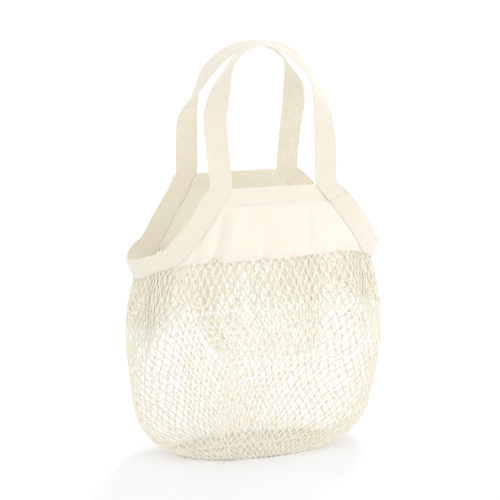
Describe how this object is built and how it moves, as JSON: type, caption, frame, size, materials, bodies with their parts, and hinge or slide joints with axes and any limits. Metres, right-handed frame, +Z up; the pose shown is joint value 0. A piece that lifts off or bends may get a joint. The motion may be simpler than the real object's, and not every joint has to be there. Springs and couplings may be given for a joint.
{
  "type": "string shopping bag",
  "caption": "Cotton net shopping bag with a canvas collar and two woven tape handles, standing open and empty.",
  "frame": {"origin": "on the floor under the middle of the base", "axes": "+X to the bag's right seen from the front, +Y to the back, +Z up through the handles"},
  "size_m": [0.3004, 0.1562, 0.4529],
  "materials": {
    "net": "natural undyed cotton yarn, matt",
    "canvas": "natural undyed cotton canvas, plain weave, matt",
    "tape": "natural undyed cotton tape, herringbone weave, matt"
  },
  "bodies": {
    "root": {"net_pouch": "net", "front_canvas": "canvas", "back_canvas": "canvas", "front_strap": "tape", "back_strap": "tape"}
  },
  "joints": []
}
